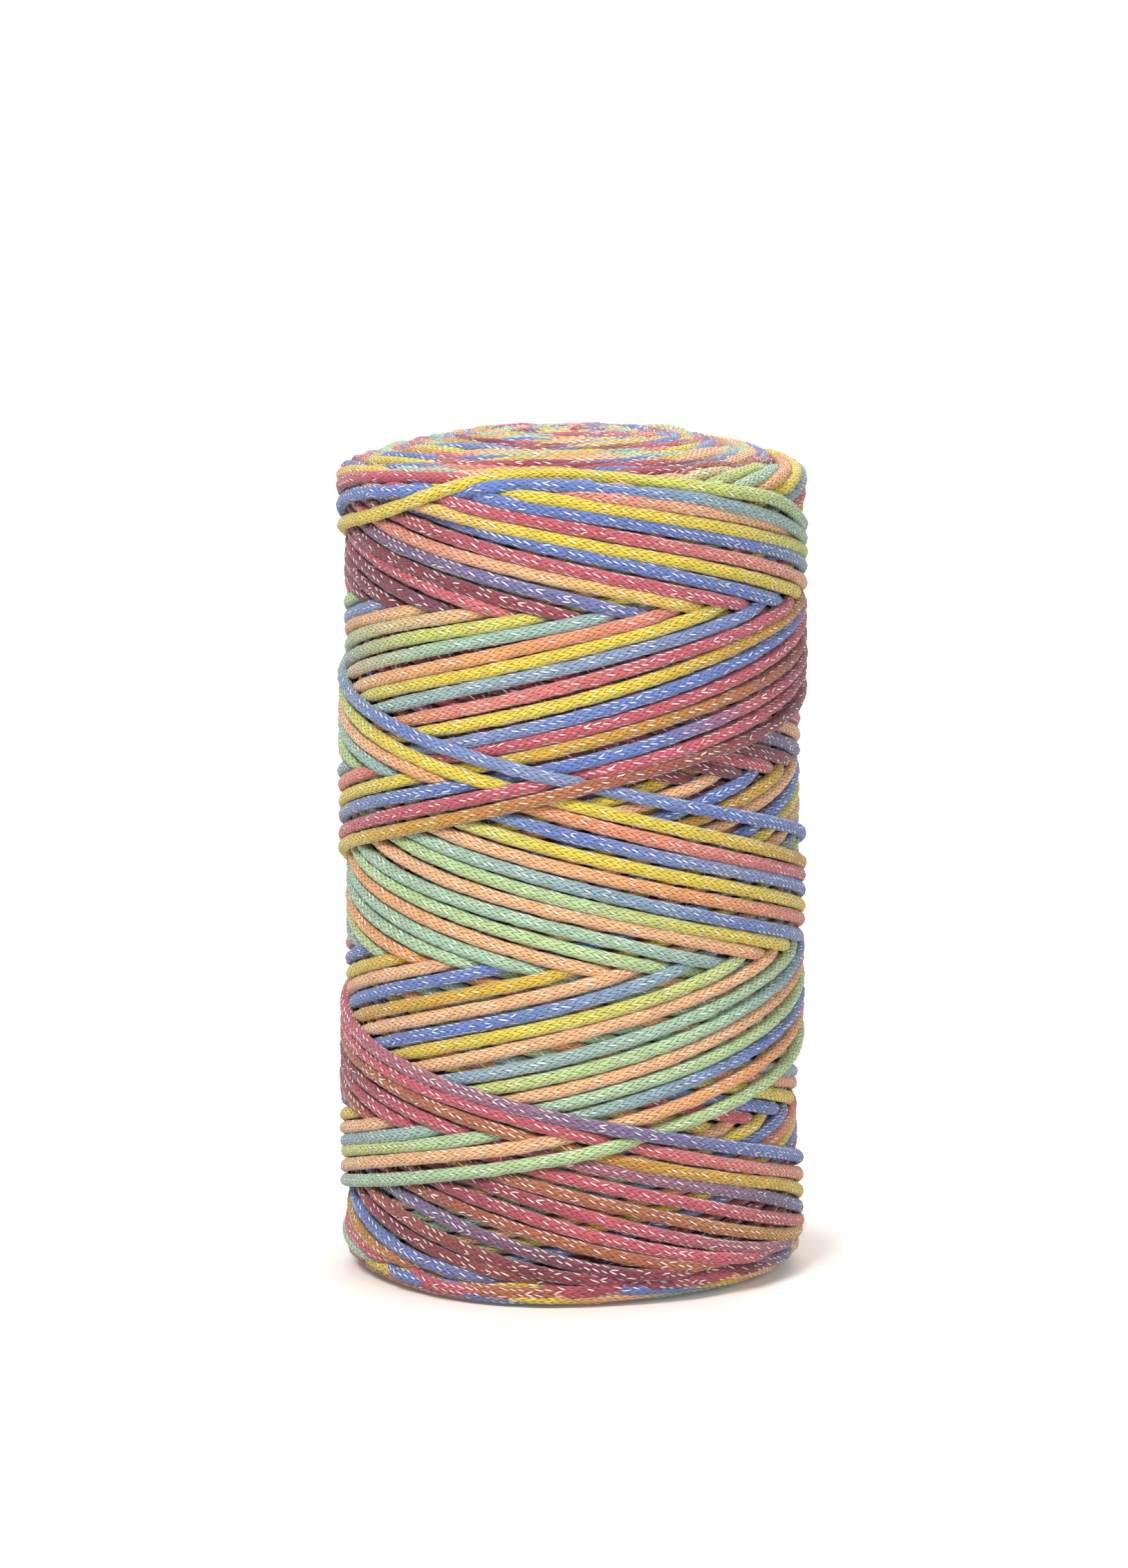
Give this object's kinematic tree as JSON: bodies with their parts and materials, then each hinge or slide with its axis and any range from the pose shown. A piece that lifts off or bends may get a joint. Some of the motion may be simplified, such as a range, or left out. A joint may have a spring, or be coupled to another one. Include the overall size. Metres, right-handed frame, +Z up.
{
  "type": "ball of cotton cord",
  "caption": "Tall cylindrical ball of space-dyed knitted cotton cord, cross-wound on itself without a tube, standing on its end.",
  "frame": {"origin": "middle of the flat foot that the ball stands on", "axes": "+Z up along the ball's own axis, from the foot to the domed crown; -Y faces the viewer of the picture, +X to the viewer's right"},
  "size_m": [0.0846, 0.0858, 0.152],
  "materials": {
    "cotton_cord": "matte tubular-knit cotton cord, space-dyed in short stretches of yellow, rust, maroon, pink, peach, mint, lime, teal grey, blue and purple, with white flecks"
  },
  "bodies": {
    "root": {"wound_ball": "cotton_cord"}
  },
  "joints": []
}
